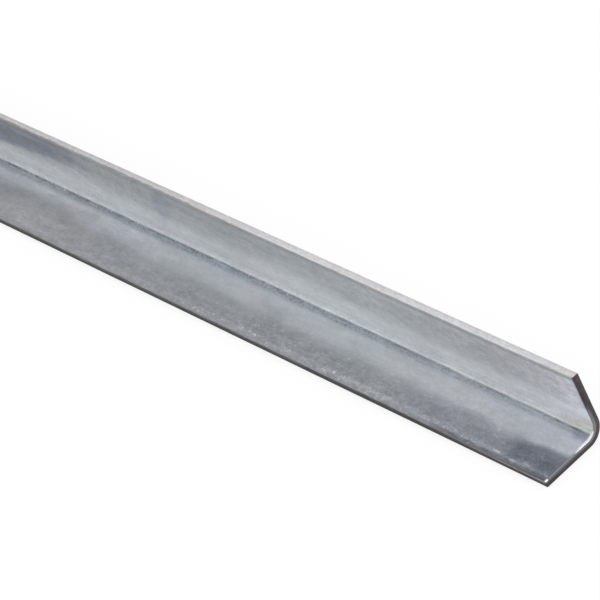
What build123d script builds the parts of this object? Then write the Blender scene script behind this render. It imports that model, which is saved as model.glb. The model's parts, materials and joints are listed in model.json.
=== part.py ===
"""Steel angle, cold-bent from zinc-coated strip: one 36 in length of equal-leg stock.

Frame: X runs along the stock, with X = 0 at mid length. Z is up. The flat leg lies on Z = 0 with
its free edge at the front (-Y), and the standing leg rises at the back (+Y). Y = 0 is midway
between the flat leg's free edge and the standing leg's outer face. Millimetres.
"""

import os

from build123d import *

# Driving dimensions
LENGTH = 914.4  # a 36 in length
FLAT_LEG = 31.75  # 1 1/4 in, from the free edge to the standing leg's outer face
STANDING_LEG = 31.75  # 1 1/4 in, from the free edge to the flat leg's outer face
THICKNESS = 3.0  # about 11 gauge
BEND_RADIUS = 5.2  # inside the bend
SLIT_EDGE_RADIUS = 0.4  # arrises that the slitter left along both free edges
SHEAR_RADIUS = 0.8  # inside faces drawn over by the shear at each cut end

# Places worked out from them
front = -FLAT_LEG / 2
back = FLAT_LEG / 2
top = STANDING_LEG

with BuildPart() as angle_section:
    # Cross-section: the bend's two concentric arcs, with the strip's thickness between them
    with BuildSketch(Plane.YZ.offset(-LENGTH / 2)):
        with BuildLine():
            inside = FilletPolyline(
                (front, THICKNESS),
                (back - THICKNESS, THICKNESS),
                (back - THICKNESS, top),
                radius=BEND_RADIUS,
            )
            outside = FilletPolyline(
                (front, 0),
                (back, 0),
                (back, top),
                radius=BEND_RADIUS + THICKNESS,
            )
            Line(inside @ 0, outside @ 0)
            Line(inside @ 1, outside @ 1)
        make_face()
    extrude(amount=LENGTH)

    # Cut ends: rounded on the inside of both legs and through the bend between them
    end_arcs = angle_section.edges().filter_by(GeomType.CIRCLE)
    fillet(end_arcs.group_by(SortBy.RADIUS)[0], SHEAR_RADIUS)

    # Free edges: two arrises along each leg
    long_edges = angle_section.edges().filter_by(Axis.X)
    free_edges = long_edges.group_by(Axis.Y)[0] + long_edges.group_by(Axis.Z)[-1]
    fillet(free_edges, SLIT_EDGE_RADIUS)

angle_section.part.label = "angle_section"
os.makedirs("parts", exist_ok=True)
export_step(angle_section.part, "parts/angle_section.step")
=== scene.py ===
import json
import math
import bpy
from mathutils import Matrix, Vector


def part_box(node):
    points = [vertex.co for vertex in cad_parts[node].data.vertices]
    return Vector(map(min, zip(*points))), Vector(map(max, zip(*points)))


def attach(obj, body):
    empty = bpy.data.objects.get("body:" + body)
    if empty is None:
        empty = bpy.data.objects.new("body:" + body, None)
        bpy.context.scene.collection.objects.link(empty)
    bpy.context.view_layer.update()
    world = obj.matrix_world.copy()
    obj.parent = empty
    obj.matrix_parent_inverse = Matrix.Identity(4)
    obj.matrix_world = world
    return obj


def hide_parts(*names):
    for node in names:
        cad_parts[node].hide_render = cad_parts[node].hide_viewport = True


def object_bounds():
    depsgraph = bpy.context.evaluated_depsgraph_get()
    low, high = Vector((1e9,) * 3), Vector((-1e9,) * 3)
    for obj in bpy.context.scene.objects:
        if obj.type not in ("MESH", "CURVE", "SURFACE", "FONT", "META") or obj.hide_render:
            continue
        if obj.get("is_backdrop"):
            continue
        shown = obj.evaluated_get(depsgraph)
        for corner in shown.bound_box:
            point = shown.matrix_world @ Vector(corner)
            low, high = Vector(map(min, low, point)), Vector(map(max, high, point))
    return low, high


bl_info = {
    "name": "Zinc-Coated Steel Angle",
    "version": (1, 0, 0),
    "blender": (4, 5, 0),
    "location": "3D View > Sidebar > Steel Angle",
    "description": "A length of cold-bent steel angle: slit and sheared edges, zinc coat, studio",
    "category": "Object",
}

from itertools import product

import bpy
from bpy.props import FloatProperty, FloatVectorProperty, IntProperty, PointerProperty
from mathutils import Matrix, Vector, noise

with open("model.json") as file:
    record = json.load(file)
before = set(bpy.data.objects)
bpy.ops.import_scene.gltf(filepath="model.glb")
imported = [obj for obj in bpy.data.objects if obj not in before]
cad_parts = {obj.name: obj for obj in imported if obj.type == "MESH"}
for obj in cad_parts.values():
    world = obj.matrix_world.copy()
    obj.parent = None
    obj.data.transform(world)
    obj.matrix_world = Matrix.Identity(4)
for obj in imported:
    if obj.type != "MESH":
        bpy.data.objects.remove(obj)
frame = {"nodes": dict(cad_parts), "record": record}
CAD_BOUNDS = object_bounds()

NODE = "angle_section"
BODY = "root"
MM = 0.001


# Sizes that the CAD model settles


MOUNTS = {mount["name"]: Vector(mount["pos_m"]) for mount in frame["record"]["mounts"]}
LOW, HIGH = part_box(NODE)
LENGTH = HIGH.x - LOW.x
FLAT_LEG = HIGH.y - LOW.y
STANDING_LEG = HIGH.z - LOW.z
THICKNESS = MOUNTS["flat_leg_inner_face"].z


def outside_bend_radius():
    """The flat leg's outer face ends one outside radius short of the standing leg's outer face."""
    underside = [v.co.y for v in frame["nodes"][NODE].data.vertices if v.co.z - LOW.z < 0.01 * MM]
    return HIGH.y - max(underside)


BEND_RADIUS = outside_bend_radius() - THICKNESS


# Fixed measures and colours

# The torn band of a slit edge wanders this far, in waves this long
TEAR_HEIGHT = 0.35 * MM
TEAR_LENGTH = 9 * MM

# The punch mark strays in waves this long, and takes this much of the strip along
STRAY_LENGTH = 30 * MM
STRAY_REACH = 6 * MM

# Grains of dross lie in drifts about this wide
DRIFT_LENGTH = 16 * MM

# Where burrs of zinc cross the punch mark, along the bar in millimetres
BURR_NICKS = (-391, -318, -255, -187, -96, -41, 38, 112, 166, 220, 244, 270, 387)

# Tints of single places on the coat
GREENISH = (0.995, 1.0, 0.98)
VIOLET = (0.84, 0.85, 1.0)
PINKISH = (1.0, 0.985, 0.99)
YELLOWISH = (0.97, 0.975, 0.89)

# Free edges
LAPPED_ZINC = (0.74, 0.755, 0.78)
# Painted shade on the flat leg's arris
ARRIS_IN_SHADE = (0.134, 0.112, 0.114)
ARRIS_IN_SHADE_BY_END = (0.12, 0.112, 0.122)
COOL_EDGE = (0.97, 0.975, 1.0)
PINK_EDGE = (1.0, 0.965, 0.985)
BEIGE_EDGE = (1.0, 0.96, 0.88)
# Tint of the flat leg's edge, which is painted dark as shade
EDGE_IN_SHADE = (0.95, 0.93, 1.05)

# Cut ends
# Painted highlights on the ends' drawn-over inside corner
FAINT_CORNER_GLINT = (0.24, 0.24, 0.25)
CORNER_GLINT = (0.89, 0.90, 0.91)
# The cut steel's brownish colour, painted dark as shade; its rust and burnished band are its own
BROWN_STEEL = (0.062, 0.048, 0.044)
RUSTED_STEEL = (0.14, 0.07, 0.06)
BURNISHED_STEEL = (0.215, 0.215, 0.225)


# Settings


def size(name, description, default):
    """A length in metres, shown in the scene's units."""
    return FloatProperty(
        name=name, description=description, default=default, subtype="DISTANCE", precision=5
    )


def share(name, description, default):
    """A plain number from nought to one."""
    return FloatProperty(name=name, description=description, default=default, min=0.0, max=1.0)


def colour(name, description, default):
    """A linear colour."""
    return FloatVectorProperty(
        name=name, description=description, default=default, subtype="COLOR", min=0.0, max=1.0
    )


def angle(name, description, degrees):
    """An angle, stored in radians."""
    return FloatProperty(
        name=name, description=description, default=math.radians(degrees), subtype="ANGLE"
    )


class StripSettings(bpy.types.PropertyGroup):
    """The strip that the angle is bent from."""

    thickness: size("Thickness", "Wall of the strip", THICKNESS)
    bend_radius: size("Bend radius", "Radius inside the bend", BEND_RADIUS)
    slit_radius: size("Slit edge radius", "Arrises along both free edges", 0.4 * MM)
    shear_radius: size("Shear radius", "Flat leg's inside face drawn over at the ends", 0.8 * MM)
    torn_radius: size("Torn radius", "Standing leg's inside face at the ends", 0.3 * MM)
    burr_radius: size("Burr radius", "Outside faces at the cut ends", 0.12 * MM)
    fracture_depth: size("Fracture depth", "How far the slitting knives cut before it tore", 2.1 * MM)
    fracture_step: size("Fracture step", "How far the torn band stands back", 0.07 * MM)
    mark_offset: size("Mark offset", "Punch mark's place, from mid-bend to the flat leg", 0.43 * MM)
    mark_skew: angle("Mark skew", "How far the punch mark leans along the bar", 0.132)
    mark_depth: size("Mark depth", "How far the punch's nose pressed into the bend", 0.16 * MM)
    mark_lip: size("Mark lip", "Width of the steep side, towards the standing leg", 0.8 * MM)
    mark_slope: size("Mark slope", "Width of the gentle side, towards the flat leg", 3.2 * MM)
    mark_wander: size("Mark wander", "How far the punch mark strays sideways", 0.25 * MM)
    ring_spacing: size("Ring spacing", "Distance between mesh rings along the bar", 2.6 * MM)
    ripple_height: size("Ripple height", "Depth of the rolled strip's slow waves", 0.05 * MM)
    ripple_length: size("Ripple length", "Distance from one slow wave to the next", 60 * MM)
    seed: IntProperty(name="Seed", description="Settles the ripples, tears and grains", default=7)


# The strip settings that the press brake takes
PRESSED_SIZES = ("thickness", "bend_radius", "mark_offset", "mark_depth", "mark_lip", "mark_slope")
PRESSED_SIZES += ("mark_skew", "mark_wander", "ripple_height", "ripple_length", "seed")


class ZincSettings(bpy.types.PropertyGroup):
    """The coat's colours and finish."""

    clean: colour("Clean zinc", "Colour of the clean coat", (0.952, 0.983, 1.0))
    lavender: colour("Lavender zinc", "Tint of the passivated coat", (0.90, 0.93, 1.0))
    warm: colour("Warm zinc", "Tint where the coat has aged", (0.975, 0.965, 1.0))
    # The tint of the painted shade under the punch mark, and of the coat where its tone is darker
    shaded: colour("Pressed zinc", "Tint under the punch mark", (0.81, 0.91, 1.0))
    # The tint of the painted reflections, of the painted shade by the punch mark and of other darker
    # patches
    deep: colour("Stained zinc", "Tint where oil dried on the coat", (0.76, 0.835, 1.0))
    # Near black: the cut and torn steel painted dark as shade
    steel: colour("Bare steel", "Cut and torn faces", (0.046, 0.036, 0.051))
    roughness: share("Roughness", "How dull the clean coat is", 0.45)
    metallic: share("Metallic", "How much the coat reflects as metal", 0.8)
    grain_size: size("Grain size", "Width of the grains of dross", 0.22 * MM)
    grains: share("Grains", "How thickly grains of dross lie, per square millimetre", 0.09)


class StudioSettings(bpy.types.PropertyGroup):
    """Floor, light from all round and camera."""

    floor_colour: colour("Floor", "Pale floor", (0.95, 0.95, 0.95))
    floor_white: share("Floor white", "How much of the floor is seen as plain white", 0.8)
    floor_size: size("Floor size", "Side of the square floor", 60.0)
    room: colour("Room", "Light from all round", (0.78, 0.78, 0.785))
    azimuth: angle("Azimuth", "Camera's bearing, from the front towards the near end", 65.335)
    elevation: angle("Elevation", "Camera's height above the floor", 35.529)
    roll: angle("Roll", "How far the camera leans", 26.742)
    distance: size("Distance", "Camera to the point that it looks at", 1.7845)
    lens: FloatProperty(name="Lens", description="Focal length in millimetres", default=264.67)
    aim: FloatVectorProperty(
        name="Aim",
        description="Point on the floor that the camera looks at",
        default=(0.27376, 0.0125, 0.0),
        subtype="TRANSLATION",
    )


# Plain helpers


def add_object(name, data):
    """Makes an object and puts it in the scene."""
    obj = bpy.data.objects.new(name, data)
    bpy.context.scene.collection.objects.link(obj)
    return obj


def put(tree, socket, value):
    """Links an input to another node's output, or gives it a plain value."""
    if isinstance(value, bpy.types.NodeSocket):
        tree.links.new(value, socket)
    else:
        socket.default_value = value


def node(tree, kind, inputs=None, **settings):
    """Adds one node, with its inputs and settings."""
    made = tree.nodes.new(kind)
    made.location = (180 * len(tree.nodes), 0)
    for name, value in settings.items():
        setattr(made, name, value)
    for key, value in (inputs or {}).items():
        put(tree, made.inputs[key], value)
    return made


def title(name):
    """A setting's name as a socket's: base_color becomes Base Color."""
    return name.replace("_", " ").title()


# The strip blank: a flat, slit and sheared piece, before the press brake


def stations(*runs):
    """Places along a line, from runs of (end, pieces) that follow each other."""
    places = [runs[0][0]]
    for end, pieces in runs[1:]:
        start = places[-1]
        places += [start + (end - start) * step / pieces for step in range(1, pieces + 1)]
    return places


def eased(value, start, end):
    """0 before start and 1 after end, with an easy turn at each."""
    reach = min(max((value - start) / (end - start), 0.0), 1.0)
    return reach * reach * (3 - 2 * reach)


def rounded(first, second, radius):
    """Moves a point near a square corner, given by its distances from both faces, onto its arc."""
    across, along = (radius - first) / radius, (radius - second) / radius
    if across <= 0 or along <= 0:
        return first, second
    pull = max(across, along) / math.hypot(across, along)
    return radius - radius * across * pull, radius - radius * along * pull


class Blank:
    """Sizes of the flat strip: x along it, y across it, z down into it from the inside face."""

    def __init__(self, sizes):
        self.sizes = sizes
        self.mark = -sizes.mark_offset
        self.outside_radius = sizes.bend_radius + sizes.thickness
        self.bend_width = 0.5 * math.pi * (sizes.bend_radius + 0.5 * sizes.thickness)
        self.front = -(FLAT_LEG - self.outside_radius) - 0.5 * self.bend_width
        self.top = (STANDING_LEG - self.outside_radius) + 0.5 * self.bend_width

    def along(self):
        """Rings: close together where the shear rounded the ends."""
        half, draw = 0.5 * LENGTH, self.sizes.shear_radius
        middle = round((LENGTH - 2 * draw) / self.sizes.ring_spacing)
        return stations((-half,), (draw - half, 6), (half - draw, middle), (half, 6))

    def across(self):
        """Lines from the flat leg's free edge to the standing leg's, close by the punch mark."""
        sizes = self.sizes
        arris, half_bend, mark = sizes.slit_radius, 0.5 * self.bend_width, self.mark
        support = 0.15 * MM
        flat_edge = (self.front,), (self.front + arris, 3), (self.front + arris + support, 1)
        slope = (mark - 0.4 * sizes.mark_slope, 5), (mark - support, 4), (mark, 1)
        bend = (-half_bend, 16), *slope, (mark + sizes.mark_lip, 4), (half_bend, 9)
        top_edge = (self.top - arris - support, 16), (self.top - arris, 1), (self.top, 3)
        return stations(*flat_edge, *bend, *top_edge)

    def down(self):
        """Lines through the thickness."""
        sizes = self.sizes
        arris, wall, torn = sizes.slit_radius, sizes.thickness, sizes.fracture_depth
        half_step = 0.1 * MM
        drawn = (0,), (arris, 3), (sizes.shear_radius, 2)
        tear = (torn - half_step, 3), (torn + half_step, 2)
        return stations(*drawn, *tear, (wall - arris, 1), (wall, 3))

    def shaped(self, x, y, z):
        """Gives the square blank its torn bands and arrises: slit edges first, then the ends."""
        sizes = self.sizes
        half, wall = 0.5 * LENGTH, sizes.thickness
        near_edge, depth = min(y - self.front, self.top - y), min(z, wall - z)
        inside, front_half = z < 0.5 * wall, y < 0.5 * (self.front + self.top)
        near_end = half - abs(x)
        tear = TEAR_HEIGHT * noise.noise(Vector((x / TEAR_LENGTH, 10 * front_half, sizes.seed)))
        step = sizes.fracture_step * eased(z + tear, sizes.fracture_depth, wall - sizes.slit_radius)
        on_slit_edge = near_edge < 1e-9
        if on_slit_edge and z < wall:
            near_edge += step
        near_edge, depth = rounded(near_edge, depth, sizes.slit_radius)
        past_bend = eased(y, -1.5 * MM, 2.5 * MM)
        drawn = sizes.shear_radius + (sizes.torn_radius - sizes.shear_radius) * past_bend
        near_end, depth = rounded(near_end, depth, drawn if inside else sizes.burr_radius)
        near_end, near_edge = rounded(near_end, near_edge, sizes.slit_radius)
        return (
            math.copysign(half - near_end, x),
            self.front + near_edge if front_half else self.top - near_edge,
            depth if inside else wall - depth,
        )

    def mesh(self):
        """The closed surface of the blank, with the cut ends and slit edges marked on its faces."""
        lines = self.along(), self.across(), self.down()
        last = [len(line) - 1 for line in lines]
        places, index, faces, kinds = [], {}, [], []

        def vertex(place):
            if place not in index:
                index[place] = len(places)
                x, y, z = self.shaped(*(line[step] for line, step in zip(lines, place)))
                places.append((x, y, -z))
            return index[place]

        for axis in range(3):
            one, two = [other for other in range(3) if other != axis]
            for side, i, j in product((0, last[axis]), range(last[one]), range(last[two])):
                ring = []
                for di, dj in ((0, 0), (1, 0), (1, 1), (0, 1)):
                    place = [0, 0, 0]
                    place[axis], place[one], place[two] = side, i + di, j + dj
                    ring.append(vertex(tuple(place)))
                # z runs down and so mirrors the axes' usual handedness
                outward = (side == 0) == (axis != 1)
                faces.append(ring if outward else ring[::-1])
                kinds.append(axis)
        mesh = bpy.data.meshes.new("strip_blank")
        mesh.from_pydata(places, [], faces)
        for name, axis in (("cut_end", 0), ("slit_edge", 1)):
            mark = mesh.attributes.new(name, "BOOLEAN", "FACE")
            mark.data.foreach_set("value", [kind == axis for kind in kinds])
        return mesh


class NodeMaker:
    """Adds nodes to one tree, with short words for the usual sums."""

    def __init__(self, tree):
        self.tree = tree

    def node(self, kind, inputs=None, **settings):
        """Adds a node and gives its outputs."""
        return node(self.tree, kind, inputs, **settings).outputs

    def do(self, operation, *terms):
        """One sum."""
        return self.node("ShaderNodeMath", dict(enumerate(terms)), operation=operation)[0]

    def times(self, first, *others):
        """A product of two or more numbers."""
        for other in others:
            first = self.do("MULTIPLY", first, other)
        return first

    def scaled(self, vector, scale):
        """A vector or a colour times a plain number."""
        inputs = {0: vector, "Scale": scale}
        return self.node("ShaderNodeVectorMath", inputs, operation="SCALE")[0]

    def ease(self, value, start, end, low=0.0, high=1.0):
        """Goes easily from low to high as value goes from start to end."""
        inputs = {"Value": value, "From Min": start, "From Max": end, "To Min": low, "To Max": high}
        # A smooth step keeps to its range by itself, and many clamps would overfill a shader's stack
        settings = {"interpolation_type": "SMOOTHSTEP", "clamp": False}
        return self.node("ShaderNodeMapRange", inputs, **settings)[0]


class ShapeTree(NodeMaker):
    """A Geometry Nodes tree whose named inputs take these numbers."""

    def __init__(self, name, numbers):
        super().__init__(bpy.data.node_groups.new(name, "GeometryNodeTree"))
        self.numbers = numbers
        self.identifiers = {}
        face = self.tree.interface
        face.new_socket("Geometry", in_out="INPUT", socket_type="NodeSocketGeometry")
        for number in numbers:
            kind = "NodeSocketInt" if number == "Seed" else "NodeSocketFloat"
            socket = face.new_socket(number, in_out="INPUT", socket_type=kind)
            self.identifiers[number] = socket.identifier
        face.new_socket("Geometry", in_out="OUTPUT", socket_type="NodeSocketGeometry")
        self.given = self.node("NodeGroupInput")

    def vector(self, x, y, z):
        """Three numbers as a vector."""
        return self.node("ShaderNodeCombineXYZ", {0: x, 1: y, 2: z})[0]

    def parts(self, vector):
        """A vector's three numbers."""
        return self.node("ShaderNodeSeparateXYZ", {0: vector})

    def attribute(self, name, kind):
        """A named attribute."""
        made = self.node("GeometryNodeInputNamedAttribute", {"Name": name}, data_type=kind)
        return made["Attribute"]

    def noise(self, vector, width):
        """Slow noise from -1 to 1 with waves about this wide, settled by the seed."""
        scale = self.do("DIVIDE", 1.0, width)
        inputs = {"Vector": vector, "W": self.given["Seed"], "Scale": scale, "Detail": 1.0}
        wave = self.node("ShaderNodeTexNoise", inputs, noise_dimensions="4D")["Fac"]
        return self.do("MULTIPLY_ADD", wave, 2.0, -1.0)

    def end(self, geometry, material, **marked):
        """Ends the tree; faces marked by a named attribute get materials of their own."""
        smooth = self.node("GeometryNodeSetShadeSmooth", {"Geometry": geometry})[0]
        result = self.node("GeometryNodeRealizeInstances", {"Geometry": smooth})[0]
        result = self.node("GeometryNodeSetMaterial", {"Geometry": result, "Material": material})[0]
        for mark, own in marked.items():
            faces = self.attribute(mark, "BOOLEAN")
            inputs = {"Geometry": result, "Selection": faces, "Material": own}
            result = self.node("GeometryNodeSetMaterial", inputs)[0]
        self.node("NodeGroupOutput", {0: result})
        return self

    def run(self, source, name):
        """Puts the tree on source, keeps its result as a plain mesh object and drops source."""
        modifier = source.modifiers.new(self.tree.name, "NODES")
        modifier.node_group = self.tree
        for number, value in self.numbers.items():
            modifier[self.identifiers[number]] = value
        evaluated = source.evaluated_get(bpy.context.evaluated_depsgraph_get())
        mesh = bpy.data.meshes.new_from_object(evaluated)
        mesh.name = name
        bpy.data.objects.remove(source)
        return add_object(name, mesh)


def press_brake(blank, coat, edge, end):
    """The tree that presses the mark, bends the strip in the middle and ripples it."""
    numbers = {title(name): getattr(blank.sizes, name) for name in PRESSED_SIZES}
    shape = ShapeTree("press_brake", numbers)
    given, do, times = shape.given, shape.do, shape.times
    x, y, z = shape.parts(shape.node("GeometryNodeInputPosition")[0])
    depth = times(z, -1.0)
    inputs = {"Geometry": given["Geometry"], "Name": "strip", "Value": shape.vector(x, y, depth)}
    kept = shape.node("GeometryNodeStoreNamedAttribute", inputs, data_type="FLOAT_VECTOR")[0]

    # Punch mark: a steep lip on one side and a gentle slope on the other
    from_mark = do("ADD", y, given["Mark Offset"])
    lip = do("SUBTRACT", 1.0, do("DIVIDE", from_mark, given["Mark Lip"]))
    slope = do("ADD", 1.0, do("DIVIDE", from_mark, given["Mark Slope"]))
    slope = do("POWER", do("MAXIMUM", slope, 0.0), 1.6)
    pressed = do("MAXIMUM", do("MINIMUM", lip, slope), 0.0)
    through = do("SUBTRACT", 1.0, do("DIVIDE", depth, given["Thickness"]))
    depth = do("ADD", depth, times(pressed, through, given["Mark Depth"]))

    # The mark leans and strays sideways, and takes its neighbourhood along
    stray = times(shape.noise(shape.vector(x, 0.5, 0.5), STRAY_LENGTH), given["Mark Wander"])
    stray = do("SUBTRACT", stray, times(x, do("TANGENT", given["Mark Skew"])))
    nearby = do("DIVIDE", from_mark, STRAY_REACH)
    nearby = do("MAXIMUM", do("SUBTRACT", 1.0, times(nearby, nearby)), 0.0)
    y = do("MULTIPLY_ADD", stray, nearby, y)

    # Bend: a quarter turn between the two legs' straight runs
    neutral = do("MULTIPLY_ADD", given["Thickness"], 0.5, given["Bend Radius"])
    half_width = times(neutral, 0.25 * math.pi)
    from_start = do("ADD", y, half_width)
    turned = do("DIVIDE", from_start, times(half_width, 2.0))
    turn = times(shape.node("ShaderNodeClamp", {0: turned})[0], 0.5 * math.pi)
    reach = do("ADD", given["Bend Radius"], depth)
    flat_run = do("MINIMUM", from_start, 0.0)
    standing_run = do("MAXIMUM", do("SUBTRACT", y, half_width), 0.0)
    sideways = do("MULTIPLY_ADD", reach, do("SINE", turn), HIGH.y - blank.outside_radius)
    upward = do("SUBTRACT", LOW.z + blank.outside_radius, times(reach, do("COSINE", turn)))
    bent = shape.vector(x, do("ADD", sideways, flat_run), do("ADD", upward, standing_run))
    bent = shape.node("GeometryNodeSetPosition", {"Geometry": kept, "Position": bent})[0]

    # Ripples: slow waves that only ever sink the surface, half as long across as along
    factors = {0: shape.node("GeometryNodeInputPosition")[0], 1: (1.0, 2.0, 2.0)}
    place = shape.node("ShaderNodeVectorMath", factors, operation="MULTIPLY")[0]
    wave = shape.noise(place, given["Ripple Length"])
    sink = times(do("MULTIPLY_ADD", wave, -0.5, -0.5), given["Ripple Height"])
    offset = shape.scaled(shape.node("GeometryNodeInputNormal")[0], sink)
    waved = shape.node("GeometryNodeSetPosition", {"Geometry": bent, "Offset": offset})[0]
    return shape.end(waved, coat, slit_edge=edge, cut_end=end)


def zinc_dross(numbers, material):
    """The tree that scatters small grains of zinc on the inside faces, most by the flat leg's edge."""
    shape = ShapeTree("zinc_dross", numbers)
    given, do, times = shape.given, shape.do, shape.times
    x, y, depth = shape.parts(shape.attribute("strip", "FLOAT_VECTOR"))

    # Few grains everywhere, more on the flat leg's outer half, and most on its rim, in drifts
    on_inside = do("LESS_THAN", depth, 0.01 * MM)
    clear_of_arris = do("GREATER_THAN", y, -27.9 * MM)
    outer_half = times(shape.ease(y, -12 * MM, -19 * MM), 0.5)
    rim = shape.ease(y, -24 * MM, -26 * MM)
    drifts = shape.ease(shape.noise(shape.vector(x, y, 0.0), DRIFT_LENGTH), -0.2, 0.3)
    thick = do("ADD", times(do("ADD", outer_half, rim), drifts), 0.02)
    inputs = {"Mesh": given["Geometry"], "Seed": given["Seed"]}
    inputs["Selection"] = times(on_inside, clear_of_arris)
    inputs["Density"] = times(thick, given["Grains Per Area"])
    places = shape.node("GeometryNodeDistributePointsOnFaces", inputs)

    # Each grain is a flat pebble: many small, a few large, some long
    dice = shape.node("FunctionNodeRandomValue", {"Min": 0.0, "Max": 1.0, "Seed": given["Seed"]})[1]
    wide = times(do("MULTIPLY_ADD", do("POWER", dice, 3.0), 1.2, 0.5), given["Grain Size"])
    long = shape.node("FunctionNodeRandomValue", {"Min": 1.0, "Max": 2.2, "Seed": 3})[1]
    inputs = {name: places[name] for name in ("Points", "Rotation")}
    inputs["Instance"] = shape.node("GeometryNodeMeshIcoSphere", {"Radius": 0.5, "Subdivisions": 1})[0]
    inputs["Scale"] = shape.vector(times(wide, long), wide, times(wide, 0.45))
    return shape.end(shape.node("GeometryNodeInstanceOnPoints", inputs)[0], material)


# Finishes


class Surface(NodeMaker):
    """A new material and its nodes."""

    def __init__(self, name):
        self.material = bpy.data.materials.new(name)
        self.material.use_nodes = True
        super().__init__(self.material.node_tree)

    def finish(self, **inputs):
        """Sets the shader's sockets, which are named as the inputs are."""
        shader = self.tree.nodes["Principled BSDF"]
        for name, value in inputs.items():
            put(self.tree, shader.inputs[title(name)], value)
        return self.material


class Finish(Surface):
    """One finish of the metal, on the strip's own coordinates in millimetres."""

    def __init__(self, name, blank=None):
        super().__init__(name)
        self.blank = blank
        strip = self.node("ShaderNodeAttribute", attribute_name="strip")["Vector"]
        self.place = self.scaled(strip, 1 / MM)
        self.along, self.across, self.depth = self.node("ShaderNodeSeparateXYZ", {0: self.place})
        self.inside = self.ease(self.depth, 1.6, 0.9)

    def lengthwise(self, start, end, low=0.0, high=1.0):
        """Goes easily from low to high between two places along the bar."""
        return self.ease(self.along, start, end, low, high)

    def crosswise(self, start, end, low=0.0, high=1.0):
        """Goes easily from low to high between two places across the strip."""
        return self.ease(self.across, start, end, low, high)

    def band(self, value, start, end, soft):
        """1 between start and end, fading outside over the soft width."""
        return self.times(self.ease(value, start - soft, start), self.ease(value, end + soft, end))

    def clouds(self, width, stretch=(1.0, 1.0, 0.3), seed=0.0):
        """Noise from about -1 to 1 whose features are this many millimetres wide."""
        widths = {0: self.place, 1: tuple(width * part for part in stretch)}
        place = self.node("ShaderNodeVectorMath", widths, operation="DIVIDE")[0]
        inputs = {"Vector": place, "W": seed, "Scale": 1.0, "Detail": 2.0}
        cloud = self.node("ShaderNodeTexNoise", inputs, noise_dimensions="4D")["Fac"]
        return self.do("MULTIPLY_ADD", cloud, 4.0, -2.0)

    def soft_patch(self, along, across, soft, seed, ragged=0.8, lean=None):
        """A soft-edged patch on the inside face, between two places along it and two across.

        It leans about a place along the face, by a slope: (place, slope).
        """
        wander = self.times(self.clouds(5, (2, 1, 0.3), seed), ragged)
        beside = self.do("ADD", self.across, wander)
        if lean:
            ahead = self.do("SUBTRACT", self.along, lean[0])
            beside = self.do("MULTIPLY_ADD", ahead, -lean[1], beside)
        ahead = self.do("MULTIPLY_ADD", wander, 3.0, self.along)
        reach = self.times(self.band(ahead, *along, soft[0]), self.band(beside, *across, soft[1]))
        return self.times(reach, self.inside)

    def specks(self, spacing, size, rarity, seed, long=1.0):
        """Soft marks, one or none in each cell; a higher rarity leaves fewer large ones."""
        scale = (1 / (spacing * long), 1 / spacing, 0.0)
        inputs = {"Vector": self.place, "Location": (seed, seed, 0), "Scale": scale}
        inputs = {"Vector": self.node("ShaderNodeMapping", inputs)[0], "Scale": 1.0}
        cell = self.node("ShaderNodeTexVoronoi", inputs, voronoi_dimensions="2D")
        chance = self.node("ShaderNodeSeparateColor", {0: cell["Color"]})["Red"]
        reach = self.do("MULTIPLY_ADD", self.do("POWER", chance, rarity), size / spacing, 0.001)
        return self.ease(self.do("DIVIDE", cell["Distance"], reach), 1.0, 0.3)

    def nicks(self, places, width):
        """Narrow strokes across the strip, at places along it."""
        strokes = 0.0
        for place in places:
            away = self.do("ABSOLUTE", self.do("SUBTRACT", self.along, place))
            strokes = self.do("MAXIMUM", strokes, self.ease(away, width, 0.3 * width))
        return strokes

    def curve(self, value, points):
        """A smooth curve through given points (value, height), heights from 0 to 1."""
        low, high = points[0][0], points[-1][0]
        shown = self.node("ShaderNodeMapRange", {"Value": value, "From Min": low, "From Max": high})[0]
        made = node(self.tree, "ShaderNodeFloatCurve", {"Value": shown})
        curve = made.mapping.curves[0]
        while len(curve.points) < len(points):
            curve.points.new(0.5, 0.5)
        for point, (place, height) in zip(curve.points, points):
            point.location = (place - low) / (high - low), height
        made.mapping.update()
        return made.outputs[0]

    def mix(self, first, second, amount):
        """Mixes two colours; a plain colour has three parts."""
        inputs = {0: amount}
        for key, colour_in in ((6, first), (7, second)):
            linked = isinstance(colour_in, bpy.types.NodeSocket)
            inputs[key] = colour_in if linked else (*colour_in, 1.0)
        return self.node("ShaderNodeMix", inputs, data_type="RGBA")[2]

    def varied(self, tone, *changes):
        """Tone times one plus each (amount, pattern) in turn."""
        for amount, pattern in changes:
            tone = self.times(tone, self.do("MULTIPLY_ADD", pattern, amount, 1.0))
        return tone

    def bump(self, height, distance, before=None):
        """A bump of this many millimetres, on top of the one before."""
        inputs = {"Height": height, "Distance": distance * MM, "Strength": 1.0}
        if before is not None:
            inputs["Normal"] = before
        return self.node("ShaderNodeBump", inputs)[0]


def zinc_coat(zinc, blank):
    """The coat on both faces: cloudy, paler by the bend and dark under the punch mark as painted light
    and shade, with patches, some of them painted reflections.
    """
    coat = Finish("zinc_coat", blank)
    do = coat.do
    tone = tone_with_light_and_shade(coat)
    tone, shade, from_mark = punch_mark(coat, tone)
    tone, blues = tone_patches(coat, tone)
    tone, rim, crusty = dross_flecks(coat, tone)
    tint = fresh_tint(coat, zinc, tone, rim)
    tint = aged_tint(coat, zinc, tint, shade, from_mark, blues)
    # bright holds where the ends' painted highlight lies
    base, bright = worked_edges(coat, zinc, coat.scaled(tint, tone))
    rough = do("MULTIPLY_ADD", coat.clouds(12, (2, 1, 0.3), 11.0), 0.06, zinc.roughness)
    rough = do("MULTIPLY_ADD", crusty, 0.15, rough)
    # Smoother where the painted highlight lies
    rough = coat.times(rough, do("MULTIPLY_ADD", bright, -0.4, 1.0))
    normal = coat.bump(coat.clouds(1.3, (1.4, 1, 0.3), 12.0), 0.02)
    normal = coat.bump(coat.clouds(0.4, (1, 1, 0.3), 13.0), 0.006, normal)
    return coat.finish(metallic=zinc.metallic, base_color=base, roughness=rough, normal=normal)


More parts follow.
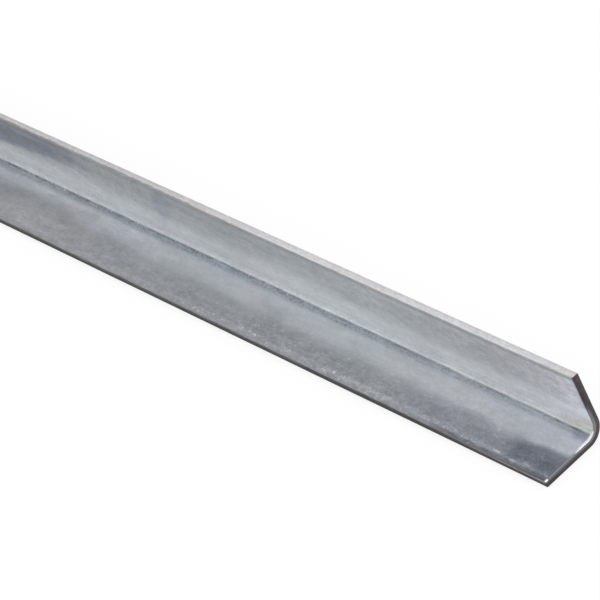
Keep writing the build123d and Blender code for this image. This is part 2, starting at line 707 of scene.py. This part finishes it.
def tone_with_light_and_shade(coat):
    """How bright the coat is: light and dark strips along the bar, painted light and shade among them,
    with clouds and grain.
    """
    do, times = coat.do, coat.times
    shift = times(coat.lengthwise(155, 120), -3.8)
    shift = do("MULTIPLY_ADD", coat.clouds(22, (1.6, 1, 0.3), 15.0), 1.6, shift)
    shift = times(shift, coat.band(coat.across, -19, -10, 5))
    # The tone across the strip holds painted shade in the bend, on the flat leg's outer half and just
    # under the standing leg's top arris, and painted light on the standing leg just above the bend
    flat_leg = ((-28.8, 0.35), (-25.5, 0.37), (-22.0, 0.375), (-19.0, 0.385), (-16.0, 0.44))
    flat_leg += ((-12.5, 0.57), (-8.0, 0.60))
    bend = ((-4.8, 0.575), (-3.4, 0.53), (-2.2, 0.48), (-1.2, 0.46), (-0.4, 0.46), (0.6, 0.485))
    bend += ((2.2, 0.56), (3.4, 0.66), (4.8, 0.83))
    standing_leg = ((6.2, 0.87), (8.0, 0.83), (10.5, 0.73), (14.0, 0.61), (18.0, 0.555))
    standing_leg += ((22.0, 0.475), (25.5, 0.475), (27.2, 0.39), (28.8, 0.42))
    tone = coat.curve(do("ADD", coat.across, shift), flat_leg + bend + standing_leg)
    grain = times(coat.lengthwise(150, 230, 1.0, 0.78), coat.lengthwise(370, 430, 1.0, 1.3))
    grain = times(grain, coat.crosswise(10, 18, 0.65, 1.25))
    outer_grain = times(coat.crosswise(-15, -22), coat.lengthwise(60, 420, 0.4, 0.9))
    grain = do("ADD", outer_grain, grain)
    outer_strip = times(coat.band(coat.across, -28, -19, 2), coat.lengthwise(230, 330, 1.0, -0.5))
    # Painted shade just under the standing leg's top arris
    shade_under_top_arris = times(coat.band(coat.across, 26.6, 27.3, 0.6), coat.lengthwise(200, 260))
    return coat.varied(
        tone,
        (0.06, coat.clouds(40, (2.5, 1, 0.3), 1.0)),
        (0.09, coat.clouds(8, (2.4, 1, 0.3), 2.0)),
        (0.13, times(coat.clouds(3, (2.4, 1, 0.3), 3.0), grain)),
        (0.12, times(coat.clouds(1.3, (2.2, 1, 0.3), 4.0), grain)),
        (0.14, times(coat.clouds(0.5, (1.8, 1, 0.3), 5.0), grain)),
        (1.0, coat.lengthwise(180, 420, -0.045, 0.045)),
        (0.06, outer_strip),
        (-0.06, shade_under_top_arris),
    )


def punch_mark(coat, tone):
    """The punch mark: a painted highlight on its lip above a dark line of painted shade in its groove,
    and a mottled painted shade towards the flat leg.
    """
    do, times, inside = coat.do, coat.times, coat.inside
    from_mark = do("SUBTRACT", coat.across, coat.blank.mark / MM)
    from_mark = do("MULTIPLY_ADD", coat.clouds(1.1, (2, 1, 1), 22.0), 0.14, from_mark)
    ragged = do("MULTIPLY_ADD", coat.clouds(1.2, (1.2, 1, 1), 6.0), 0.8, from_mark)
    # Painted shade beside the mark, towards the flat leg, mottled
    shade = times(coat.ease(ragged, -5.2, -2.2), coat.lengthwise(120, 410, 1.16, 0.66))
    shade = times(shade, coat.ease(from_mark, 0.10, -0.08), inside)
    mottle = coat.ease(coat.clouds(0.9, (1.4, 1.4, 1), 7.0), -1.0, 1.0, 0.3, 1.4)
    patches = coat.ease(coat.clouds(3.2, (1.6, 0.8, 1), 18.0), -0.9, 0.9, 0.72, 1.28)
    plainer = do("ADD", coat.lengthwise(90, 340, 0.62, -0.25), coat.lengthwise(385, 425, 0.0, 0.45))
    plainer = times(plainer, coat.ease(from_mark, -0.9, -1.8))
    mottle = times(mottle, patches)
    mottle = do("MULTIPLY_ADD", do("SUBTRACT", 0.86, mottle), plainer, mottle)
    nicks = times(coat.nicks(BURR_NICKS, 0.5), coat.band(from_mark, -1.3, 0.3, 0.4), inside)
    # Painted shade in the mark's groove, broken where burrs cross it
    line = times(coat.band(from_mark, -0.9, -0.05, 0.5), inside, do("SUBTRACT", 1.0, nicks))
    line = times(line, coat.ease(coat.clouds(4, (2.5, 1, 1), 16.0), -0.8, 0.8, 0.25, 1.8))
    line = times(line, coat.lengthwise(418, 440, 1.0, 1.6), coat.lengthwise(170, 120, 1.0, 1.18))
    # Painted highlight on the mark's lip
    lip = times(coat.band(from_mark, 0.6, 1.05, 0.4), inside)
    lip = times(lip, coat.lengthwise(120, 360, 0.8, 1.3), coat.lengthwise(385, 415, 1.0, 0.7))
    lip_grain = coat.clouds(0.9, (2.2, 1, 1), 23.0)
    lip_grain = times(lip_grain, coat.band(from_mark, 0.5, 2.8, 0.8), inside)
    shaded = times(shade, mottle)
    tone = coat.varied(tone, (-0.38, shaded), (-0.20, line), (0.20, lip), (0.2, nicks))
    return coat.varied(tone, (0.13, lip_grain)), shade, from_mark


def tone_patches(coat, tone):
    """Darker and paler patches on the inside faces, some of them painted reflections.

    Gives the new tone and the dark patches' patterns, each with how blue it is.
    """
    # Change of tone, how blue it is, and what the patch takes
    blues = []
    for amount, bluer, *place in (
        # Painted reflections: a dark patch on the standing leg's upper part, 10 to 106 mm along, and
        # one by the flat leg's near tip, with its rim
        (-0.36, 0.88, (10, 106), (17.5, 40), (50, 4.0), 1.0, 0.8, (100, 0.085)),
        (-0.38, 1.0, (436, 600), (-24.2, -18.2), (14, 3.4), 2.0, 0.8, (433, 0.1)),
        (-0.24, 0.8, (450, 600), (-30, -22), (7, 2), 2.5),
        # Painted shade of the punch mark near the end
        (-0.16, 0.8, (451, 600), (-5.6, -1.8), (6, 2.2), 7.0, 0.4),
        (-0.07, 0.3, (189, 196), (15, 24), (6, 5), 6.0, 0.4, (192, 0.9)),
    ):
        pattern = coat.soft_patch(*place)
        tone = coat.varied(tone, (amount, pattern))
        blues.append((bluer, pattern))

    # Change of tone, and what the patch takes
    for amount, *place in (
        (-0.32, (-600, -436), (14, 40), (14, 4), 1.5, 0.8, (-440, -0.08)),
        (-0.22, (-330, -250), (-40, -20), (60, 5), 1.7),
        (0.12, (335, 600), (22, 40), (45, 5), 3.0),
        (-0.07, (398, 416), (12, 23), (10, 6), 3.5),
        (-0.05, (382, 405), (8, 14), (16, 5), 3.7),
        (0.36, (456, 600), (9, 26), (25, 4), 4.0, 0.6),
        (-0.15, (440, 600), (26.8, 40), (10, 1.5), 4.2, 0.3),
        (0.17, (0, 110), (-24.5, -16), (36, 3.5), 4.5),
        (-0.09, (108, 134), (-9.3, -7.8), (20, 2.4), 4.7),
        (0.05, (50, 112), (-16, -12.5), (22, 2.5), 4.6),
        (0.035, (100, 145), (-5.8, -4.0), (20, 1.2), 4.8),
        (0.025, (40, 145), (2.2, 4.0), (20, 1.2), 4.85),
        (-0.03, (350, 600), (8, 12), (20, 2.5), 6.1),
        (-0.035, (384, 436), (1.4, 3.2), (14, 0.9), 6.3, 0.2),
        (0.14, (0, 104), (25.5, 40), (24, 2), 4.9),
        (-0.10, (264, 272), (-14, -11.5), (9, 3), 5.0),
        (-0.06, (385, 430), (-24, -20.5), (16, 2.5), 5.5),
        (-0.08, (360, 452), (0.6, 1.5), (20, 0.7), 5.1, 0.2),
        (-0.36, (394, 600), (-30, -27.2), (14, 1.0), 5.7, 0.3),
        (0.10, (314, 386), (-26.3, -25.0), (14, 0.9), 5.8, 0.3),
        (0.06, (278, 318), (19, 40), (22, 4), 5.9),
        (0.045, (128, 152), (-26, -18), (9, 2), 8.1, 0.5),
        (-0.055, (143, 151), (21.5, 40), (7, 2), 8.2, 0.4),
        (0.04, (102, 119), (18.5, 24), (9, 2), 8.3, 0.5),
        (-0.055, (198, 216), (-15.5, -11), (8, 1.8), 8.4, 0.5),
        (0.035, (231, 243), (-17, -11), (7, 2), 8.5, 0.5),
        (0.05, (309, 331), (-16, -11.5), (9, 2), 8.6, 0.5),
        (0.055, (411, 423), (-18, -15.5), (7, 1.5), 8.7, 0.4),
        (0.07, (427, 437), (-2.6, -1.8), (5, 0.8), 8.8, 0.2),
        (-0.06, (443, 452), (-4.6, -3.3), (5, 0.9), 8.9, 0.2),
        (-0.045, (381, 393), (18, 21), (7, 2), 9.1, 0.4),
    ):
        tone = coat.varied(tone, (amount, coat.soft_patch(*place)))
    return tone, blues


def dross_flecks(coat, tone):
    """Flecks of dross, and a paler crusty rim along the flat leg's edge."""
    do, times = coat.do, coat.times
    toward_end = coat.lengthwise(120, 290, 0.3, 1.0)
    outer = times(coat.crosswise(-12, -18), coat.inside, 0.72)
    rim = times(coat.band(coat.across, -27.6, -25.6, 1.0), coat.inside)
    drifts = coat.ease(coat.clouds(14, (1.5, 1, 0.3), 17.0), -0.8, 0.5)
    flecks = do("MAXIMUM", coat.specks(4.6, 1.4, 2.5, 3.0), coat.specks(1.7, 0.75, 2.0, 5.0))
    flecks = times(flecks, do("ADD", outer, rim), drifts, toward_end)
    crust = times(coat.ease(coat.clouds(0.9, (3, 1, 0.3), 14.0), 0.0, 1.0), rim, toward_end)
    dashes = times(coat.specks(3.4, 1.5, 1.5, 7.0, 3.0), coat.band(coat.across, -27.0, -25.6, 0.6))
    dashes = times(dashes, coat.inside, coat.lengthwise(370, 440))
    paler_rim = times(rim, coat.lengthwise(380, 430, 1.0, 0.0))
    tone = coat.varied(tone, (0.07, paler_rim), (0.40, flecks), (0.36, crust), (0.60, dashes))
    return tone, rim, do("MAXIMUM", flecks, crust)


def fresh_tint(coat, zinc, tone, rim):
    """The coat's tint: clean on the standing leg, lavender on the flat leg and by the end."""
    do, times = coat.do, coat.times
    lavender = do("MAXIMUM", coat.crosswise(2, -6), coat.lengthwise(400, 450, 0.0, 0.7))
    lavender = times(coat.ease(coat.clouds(24, (2, 1, 0.3), 8.0), -0.9, 0.9), lavender)
    warm = times(coat.ease(coat.clouds(17, (2, 1, 0.3), 9.0), -0.2, 1.2), 0.7)
    warm = do("MAXIMUM", warm, times(rim, coat.lengthwise(350, 400, 0.7, 0.0)))
    warm = do("MAXIMUM", warm, times(coat.soft_patch((0, 130), (-30, -16), (40, 6), 4.5), 0.8))
    near_end = times(coat.lengthwise(320, 440, 0.0, 0.62), coat.crosswise(1, 6))
    warm = do("MAXIMUM", warm, near_end)
    tint = coat.mix(zinc.clean, zinc.lavender, lavender)
    tint = coat.mix(tint, zinc.shaded, coat.ease(tone, 0.75, 0.50, 0.0, 0.28))
    return coat.mix(tint, zinc.warm, warm)


def aged_tint(coat, zinc, tint, shade, from_mark, blues):
    """Tints of single places: bluer in the painted shade by the punch mark, the painted reflections
    and other dark patches, greenish, violet, pink and yellow.
    """
    times = coat.times
    tint = coat.mix(tint, zinc.shaded, times(shade, coat.lengthwise(110, 165, 0.45, 0.85)))
    # A greenish band above the bend, the tint of a painted reflection
    above_bend = times(coat.band(coat.across, 5.2, 7.2, 1.2), coat.inside, 0.3)
    tint = coat.mix(tint, GREENISH, above_bend)
    tint = coat.mix(tint, VIOLET, times(coat.soft_patch((385, 600), (-30, -17), (38, 3), 2.8), 0.45))
    # Bluer beside the punch mark, where its painted shade lies
    beside_mark = coat.band(from_mark, -5.5, 0.8, 1.6)
    toward_tip = coat.soft_patch((405, 600), (-8, -4), (25, 2), 2.7)
    toward_tip = coat.do("MAXIMUM", toward_tip, coat.soft_patch((430, 600), (-16, -4), (12, 2), 2.9))
    for bluer, pattern in ((0.15, beside_mark), (0.22, toward_tip), *blues):
        tint = coat.mix(tint, zinc.deep, times(pattern, bluer))
    pale_edge = times(coat.band(coat.across, 27.4, 40, 0.8), coat.inside, 0.6)
    tint = coat.mix(tint, PINKISH, pale_edge)
    end_stain = coat.soft_patch((448, 456), (1.2, 2.8), (12, 2.9), 5.0)
    return coat.mix(tint, YELLOWISH, times(end_stain, 0.8))


def worked_edges(coat, zinc, base):
    """The free edges' laps, the flat leg's in painted shade, and the drawn-over ends with their
    painted highlight and shade; gives also the painted highlight's pattern.
    """
    base = coat.mix(base, LAPPED_ZINC, bright_lap(coat))
    # Painted shade round the flat leg's arris
    bare = coat.mix(ARRIS_IN_SHADE, ARRIS_IN_SHADE_BY_END, coat.lengthwise(425, 440))
    base = coat.mix(base, bare, coat.times(shade_round_flat_arris(coat), 0.85))
    bright, grey, torn = corner_glint_and_shade(coat)
    base = coat.mix(base, FAINT_CORNER_GLINT, grey)
    base = coat.mix(base, CORNER_GLINT, bright)
    # Torn stretch: painted shade in the dark steel colour
    return coat.mix(base, zinc.steel, torn), bright


def bright_lap(look):
    """How far the standing leg's bright edge coat laps round its arris onto the inside face."""
    do = look.do
    from_arris = do("SUBTRACT", look.blank.top / MM, do("ADD", look.across, look.depth))
    reach = look.lengthwise(150, 300, -0.6, 0.35)
    reach = do("SUBTRACT", reach, look.lengthwise(425, 445, 0.0, 0.25))
    reach = do("MULTIPLY_ADD", look.clouds(7, (2, 1, 1), 31.0), 0.3, reach)
    reach = do("MULTIPLY_ADD", look.clouds(1.6, (2, 1, 1), 34.0), 0.22, reach)
    soft = look.lengthwise(180, 280, 0.2, 0.65)
    return look.ease(do("DIVIDE", do("SUBTRACT", from_arris, reach), soft), 1.0, -1.0)


def shade_round_flat_arris(look):
    """How far the painted shade of the flat leg's edge runs round its arris onto the inside face."""
    do = look.do
    from_arris = do("SUBTRACT", do("SUBTRACT", look.across, look.blank.front / MM), look.depth)
    reach = look.lengthwise(425, 440, 0.3, 0.6)
    for amount, start, end, soft in ((-0.25, 390, 411, 12), (0.14, 341, 358, 8), (-0.12, 277, 287, 8)):
        reach = do("MULTIPLY_ADD", look.band(look.along, start, end, soft), amount, reach)
    reach = do("MULTIPLY_ADD", look.clouds(5, (3, 1, 1), 33.0), 0.25, reach)
    return look.ease(do("SUBTRACT", from_arris, reach), 0.3, -0.3)


def corner_glint_and_shade(look):
    """Where the shear drew the zinc over the end's inside corner: a painted highlight, a fainter grey
    painted highlight, and painted shade in the torn stretch.
    """
    do, times = look.do, look.times
    from_end = do("SUBTRACT", 0.5 * LENGTH / MM, do("ABSOLUTE", look.along))
    round_corner = do("SUBTRACT", from_end, look.depth)
    wander = do("MULTIPLY_ADD", look.clouds(2.5, seed=21.0), 0.5, look.across)
    tip = look.band(wander, -28.4, -27.6, 0.7)
    round_corner = do("MULTIPLY_ADD", tip, 0.55, round_corner)
    near = times(look.inside, look.ease(round_corner, -0.25, 0.3))
    width = look.ease(wander, -14, -7, 0.8, 1.6)
    corner = times(near, look.ease(do("DIVIDE", round_corner, width), 1.0, 0.62))
    narrow = times(near, look.ease(round_corner, 0.9, 0.4))
    # Painted highlight along the flat leg's end corner, and a painted glint at its tip
    bright = times(look.band(wander, -9.5, -1.4, 3.5), look.ease(wander, 0.4, -1.4), corner)
    spot = times(near, tip, look.ease(round_corner, 1.7, 0.8), 0.85)
    bright = do("MAXIMUM", bright, spot)
    bright = do("MAXIMUM", bright, times(look.band(wander, -2.0, 0.8, 1.4), narrow))
    # A fainter painted highlight further down the corner
    grey = times(look.ease(wander, -1.5, -3.5), narrow)
    limit = look.ease(wander, 11, 14, 1.0, 1.5)
    # Painted shade on the standing leg's end corner, in the dark steel colour
    torn = times(look.ease(wander, 0.6, 2.6), look.ease(from_end, limit, -0.15), look.inside)
    return bright, grey, torn


def slit_edge(zinc, blank):
    """Both slit edges: the standing leg's pale, in the coat's colour; the flat leg's painted dark as
    shade.
    """
    edge = Finish("slit_edge", blank)
    do, times = edge.do, edge.times
    ticks = edge.clouds(0.7, (3.5, 5, 1.1), 1.0)

    # Galvanized edge
    tone = edge.varied(
        edge.lengthwise(150, 320, 0.56, 0.66),
        (0.12, ticks),
        (0.06, edge.clouds(2.5, (2, 1, 0.6), 4.0)),
        (0.10, edge.clouds(0.5, (1.8, 1, 1), 6.0)),
        (0.05, edge.clouds(20, (1, 1, 1), 2.0)),
        (-0.10, edge.band(edge.depth, 2.0, 2.25, 0.2)),
        (0.06, edge.band(edge.depth, 0.35, 0.6, 0.2)),
    )
    tint = edge.mix(COOL_EDGE, PINK_EDGE, edge.ease(edge.clouds(10, seed=3.0), -0.5, 1.0))
    tint = edge.mix(tint, BEIGE_EDGE, edge.lengthwise(440, 456, 0.0, 0.8))
    coated = edge.mix(edge.scaled(zinc.clean, 0.27), edge.scaled(tint, tone), bright_lap(edge))

    # Flat leg's edge: painted dark as shade, darker still below and over some stretches, and paler
    # along a line near the end
    tone = edge.ease(edge.depth, 0.2, 1.2, 0.092, 0.020)
    stretches = do("ADD", edge.lengthwise(300, 350, 1.0, 0.58), edge.lengthwise(395, 450, 0.0, 0.55))
    stretches = do("ADD", stretches, edge.lengthwise(160, 120, 0.0, -0.3))
    patches = times(edge.clouds(5, (2, 1, 1), 4.0), edge.lengthwise(370, 400, 0.6, 0.15))
    paler_line_depth = do("SUBTRACT", edge.depth, edge.lengthwise(395, 445, -0.1, 0.5))
    paler_line = times(edge.band(paler_line_depth, -0.2, 0.2, 0.6), edge.lengthwise(385, 410))
    tone = edge.varied(times(tone, stretches), (0.4, ticks), (1.0, patches), (1.6, paler_line))
    bare = edge.scaled(EDGE_IN_SHADE, tone)

    base = edge.mix(bare, coated, do("GREATER_THAN", edge.across, 0.0))
    normal = edge.bump(ticks, 0.03)
    return edge.finish(metallic=0.3, base_color=base, roughness=0.6, normal=normal)


def sheared_end(zinc, blank):
    """Both cut ends: bare steel painted dark as shade, with the shear's upright scores."""
    end = Finish("sheared_end", blank)
    do, times = end.do, end.times
    scores = end.clouds(0.5, (4, 0.6, 4), 1.0)
    tone = end.varied(1.0, (0.15, scores), (0.2, end.clouds(3, (1, 1, 1), 2.0)))
    brown = end.mix(zinc.steel, BROWN_STEEL, end.ease(end.depth, 1.0, 2.4))
    rust = times(end.band(end.across, 1.0, 4.0, 3.0), end.ease(end.depth, 1.8, 2.6), 0.7)
    for amount, across, depth in (
        (-0.35, (16.5, 19.5), (-1.0, 0.9)),
        (0.30, (26.5, 40), (1.3, 4.0)),
        (-0.35, (-26, -23), (1.4, 2.2)),
        (-0.30, (-40, -26.5), (0.8, 1.6)),
    ):
        patch = times(end.band(end.across, *across, 1.8), end.band(end.depth, *depth, 0.5))
        tone = end.varied(tone, (amount, patch))
    base = end.scaled(end.mix(brown, RUSTED_STEEL, rust), tone)
    burnished = times(end.ease(end.depth, 1.8, 0.4), end.crosswise(14.5, 9.5))
    on_bend = do("MULTIPLY_ADD", end.band(end.across, -9, 6, 4), 0.28, 0.72)
    base = end.mix(base, BURNISHED_STEEL, times(burnished, on_bend))
    # The painted highlight on the end's part of the inside corner
    bright, grey, _ = corner_glint_and_shade(end)
    base = end.mix(base, FAINT_CORNER_GLINT, grey)
    base = end.mix(base, CORNER_GLINT, bright)
    normal = end.bump(scores, 0.04)
    return end.finish(metallic=0.4, base_color=base, roughness=0.5, normal=normal)


def dross_grain(zinc):
    """Small hard grains of zinc."""
    grain = Finish("dross_grain")
    base = grain.scaled(zinc.clean, grain.varied(0.66, (0.1, grain.clouds(4, seed=5.0))))
    return grain.finish(metallic=0.6, base_color=base, roughness=0.4)


def pale_floor(studio):
    """Matte and pale; what is seen of it, straight or in the metal, is lifted towards white."""
    floor = Surface("pale_floor")
    rays = floor.node("ShaderNodeLightPath")
    seen = floor.do("MAXIMUM", rays["Is Camera Ray"], rays["Is Glossy Ray"])
    seen = floor.do("MAXIMUM", seen, rays["Is Transmission Ray"])
    lift = floor.times(seen, studio.floor_white)
    shade = floor.scaled(studio.floor_colour, floor.do("SUBTRACT", 1.0, lift))
    floor.finish(emission_color=(1.0, 1.0, 1.0, 1.0), emission_strength=lift)
    return floor.finish(base_color=shade, roughness=0.9)


# Pieces and stage


class STEELANGLE_OT_bar(bpy.types.Operator):
    """Makes the flat strip, bends it and gives it its zinc coat"""

    bl_idname = "steelangle.bar"
    bl_label = "Angle Bar"

    def execute(self, context):
        zinc = context.scene.angle_zinc
        blank = Blank(context.scene.angle_strip)
        finishes = zinc_coat(zinc, blank), slit_edge(zinc, blank), sheared_end(zinc, blank)
        source = add_object("strip_blank", blank.mesh())
        bar = press_brake(blank, *finishes).run(source, "angle_bar")
        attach(bar, BODY)
        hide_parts(NODE)
        return {"FINISHED"}


class STEELANGLE_OT_dross(bpy.types.Operator):
    """Scatters grains of zinc dross on the bar's inside faces"""

    bl_idname = "steelangle.dross"
    bl_label = "Zinc Dross"

    def execute(self, context):
        zinc = context.scene.angle_zinc
        bar = bpy.data.objects["angle_bar"]
        source = add_object("dross_bed", bar.data.copy())
        numbers = {
            "Grain Size": zinc.grain_size,
            "Grains Per Area": zinc.grains / (MM * MM),
            "Seed": context.scene.angle_strip.seed,
        }
        dross = zinc_dross(numbers, dross_grain(zinc)).run(source, "zinc_dross")
        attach(dross, BODY)
        return {"FINISHED"}


def soft_box(name, toward, distance, side, level, aim):
    """A square lamp at a bearing from aim, facing it; level is its own brightness."""
    lamp = bpy.data.lights.new(name, "AREA")
    lamp.shape = "SQUARE"
    lamp.size = side
    lamp.energy = level * math.pi * side * side
    obj = add_object(name, lamp)
    direction = Vector(toward).normalized()
    turn = direction.to_track_quat("Z", "Y").to_matrix().to_4x4()
    obj.matrix_world = Matrix.Translation(Vector(aim) + direction * distance) @ turn
    obj.visible_camera = False


class STEELANGLE_OT_studio(bpy.types.Operator):
    """Sets the floor, the lamps, the light all round and the camera"""

    bl_idname = "steelangle.studio"
    bl_label = "Studio"

    def execute(self, context):
        studio = context.scene.angle_studio
        self.floor(studio)
        self.room(context.scene, studio)
        self.lamps()
        self.camera(context.scene, studio)
        context.scene.view_settings.view_transform = "Standard"
        return {"FINISHED"}

    def floor(self, studio):
        """A plain pale floor under the bar."""
        half = 0.5 * studio.floor_size
        mesh = bpy.data.meshes.new("floor")
        corners = [(-half, -half), (half, -half), (half, half), (-half, half)]
        mesh.from_pydata([(x, y, LOW.z) for x, y in corners], [], [(0, 1, 2, 3)])
        mesh.materials.append(pale_floor(studio))
        add_object("floor", mesh)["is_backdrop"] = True

    def room(self, scene, studio):
        """Plain light from all round."""
        scene.world = bpy.data.worlds.new("studio")
        scene.world.use_nodes = True
        background = scene.world.node_tree.nodes["Background"]
        background.inputs["Color"].default_value = (*studio.room, 1.0)
        background.inputs["Strength"].default_value = 1.0

    def lamps(self):
        """Two large soft lamps: a lower one past the far end, a higher one past the near end."""
        near_half = (0.27, 0.0, 0.0)
        key_side, top_side = (-0.74, -0.45, 0.50), (0.58, 0.34, 0.74)
        soft_box("key_lamp", toward=key_side, distance=2.4, side=2.4, level=0.6, aim=near_half)
        soft_box("top_lamp", toward=top_side, distance=2.4, side=1.5, level=1.8, aim=near_half)

    def camera(self, scene, studio):
        """A long lens, leaning to one side."""
        camera = bpy.data.cameras.new("camera")
        camera.lens = studio.lens
        camera.clip_end = 100.0
        obj = add_object("camera", camera)
        turn = (
            Matrix.Rotation(studio.azimuth, 4, "Z")
            @ Matrix.Rotation(0.5 * math.pi - studio.elevation, 4, "X")
            @ Matrix.Rotation(-studio.roll, 4, "Z")
        )
        back = turn.to_3x3() @ Vector((0, 0, 1))
        obj.matrix_world = Matrix.Translation(Vector(studio.aim) + back * studio.distance) @ turn
        scene.camera = obj


class STEELANGLE_PT_sidebar(bpy.types.Panel):
    """Lists what can be made, and its settings."""

    bl_label = "Steel Angle"
    bl_idname = "STEELANGLE_PT_sidebar"
    bl_space_type = "VIEW_3D"
    bl_region_type = "UI"
    bl_category = "Steel Angle"

    def draw(self, context):
        groups_shown = ("angle_studio",), ("angle_strip", "angle_zinc"), ()
        for operator, groups in zip(OPERATORS, groups_shown):
            box = self.layout.box()
            box.operator(operator.bl_idname)
            for group in groups:
                values = getattr(context.scene, group)
                for name in values.bl_rna.properties.keys():
                    if name not in ("rna_type", "name"):
                        box.prop(values, name)


GROUPS = {"angle_strip": StripSettings, "angle_zinc": ZincSettings, "angle_studio": StudioSettings}
OPERATORS = (STEELANGLE_OT_studio, STEELANGLE_OT_bar, STEELANGLE_OT_dross)
CLASSES = (*GROUPS.values(), *OPERATORS, STEELANGLE_PT_sidebar)


def register():
    for cls in CLASSES:
        bpy.utils.register_class(cls)
    for name, group in GROUPS.items():
        setattr(bpy.types.Scene, name, PointerProperty(type=group))


def unregister():
    for name in GROUPS:
        delattr(bpy.types.Scene, name)
    for cls in reversed(CLASSES):
        bpy.utils.unregister_class(cls)


def main():
    register()
    bpy.ops.steelangle.studio()
    bpy.ops.steelangle.bar()
    bpy.ops.steelangle.dross()
    boxes = {"cad": CAD_BOUNDS, "visual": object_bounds()}
    {name: [list(corner) for corner in box] for name, box in boxes.items()}


if __name__ == "__main__":
    main()
